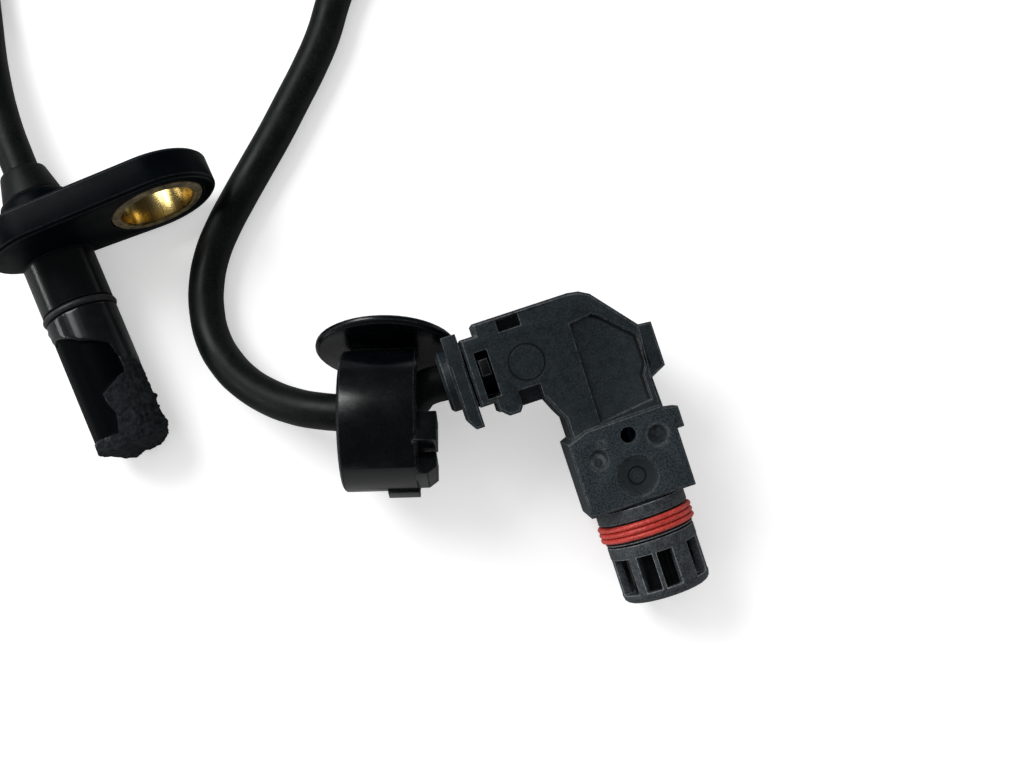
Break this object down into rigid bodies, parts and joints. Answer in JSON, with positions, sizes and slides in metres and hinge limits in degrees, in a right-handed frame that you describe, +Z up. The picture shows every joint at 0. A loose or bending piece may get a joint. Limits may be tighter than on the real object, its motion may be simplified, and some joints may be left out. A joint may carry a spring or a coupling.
{
  "type": "abs wheel speed sensor",
  "caption": "Wheel speed sensor: a round probe with a bolt eye and brass bush, a coiled jacketed lead, a snap cable clip and a right-angle plug with a red ribbed seal",
  "frame": {"origin": "under the middle of the sensor head, on the surface that it lies on", "axes": "probe tip to -Y, bolt eye to +X, up is +Z"},
  "size_m": [0.0924, 0.2061, 0.0257],
  "materials": {
    "housing_plastic": "moulded, semi gloss, rough where worn",
    "core_plastic": "moulded, dark",
    "bush_brass": "turned, slightly tarnished",
    "ring_rubber": "satin",
    "boot_rubber": "satin",
    "element_plastic": "moulded chip",
    "magnet_metal": "plain sintered",
    "strip_brass": "stamped",
    "contact_tin": "tinned",
    "lead_jacket": "semi gloss jacket",
    "clip_plastic": "moulded, satin",
    "sleeve_rubber": "satin",
    "plug_plastic": "moulded, fine grain",
    "barrel_plastic": "moulded, grainy",
    "seal_rubber": "satin red",
    "wire_brown": "plain insulation",
    "wire_blue": "plain insulation"
  },
  "bodies": {
    "root": {"sensor_housing": "housing_plastic", "element_core": "core_plastic", "bolt_bush": "bush_brass", "probe_ring": "ring_rubber", "cable_boot": "boot_rubber", "sensing_element": "element_plastic", "bias_magnet": "magnet_metal", "lead_strip_left": "strip_brass", "lead_strip_right": "strip_brass", "crimp_left": "contact_tin", "crimp_right": "contact_tin", "contact_left": "contact_tin", "contact_right": "contact_tin", "lead_head_run": "lead_jacket", "lead_coil": "lead_jacket", "lead_tail_run": "lead_jacket", "cable_clip": "clip_plastic", "clip_sleeve": "sleeve_rubber", "cable_gland": "sleeve_rubber", "elbow_housing": "plug_plastic", "elbow_lid": "plug_plastic", "rear_retainer": "plug_plastic", "contact_carrier": "plug_plastic", "plug_body": "barrel_plastic", "coding_basket": "barrel_plastic", "red_seal": "seal_rubber", "plug_wire_left": "wire_brown", "plug_wire_right": "wire_blue"}
  },
  "joints": []
}
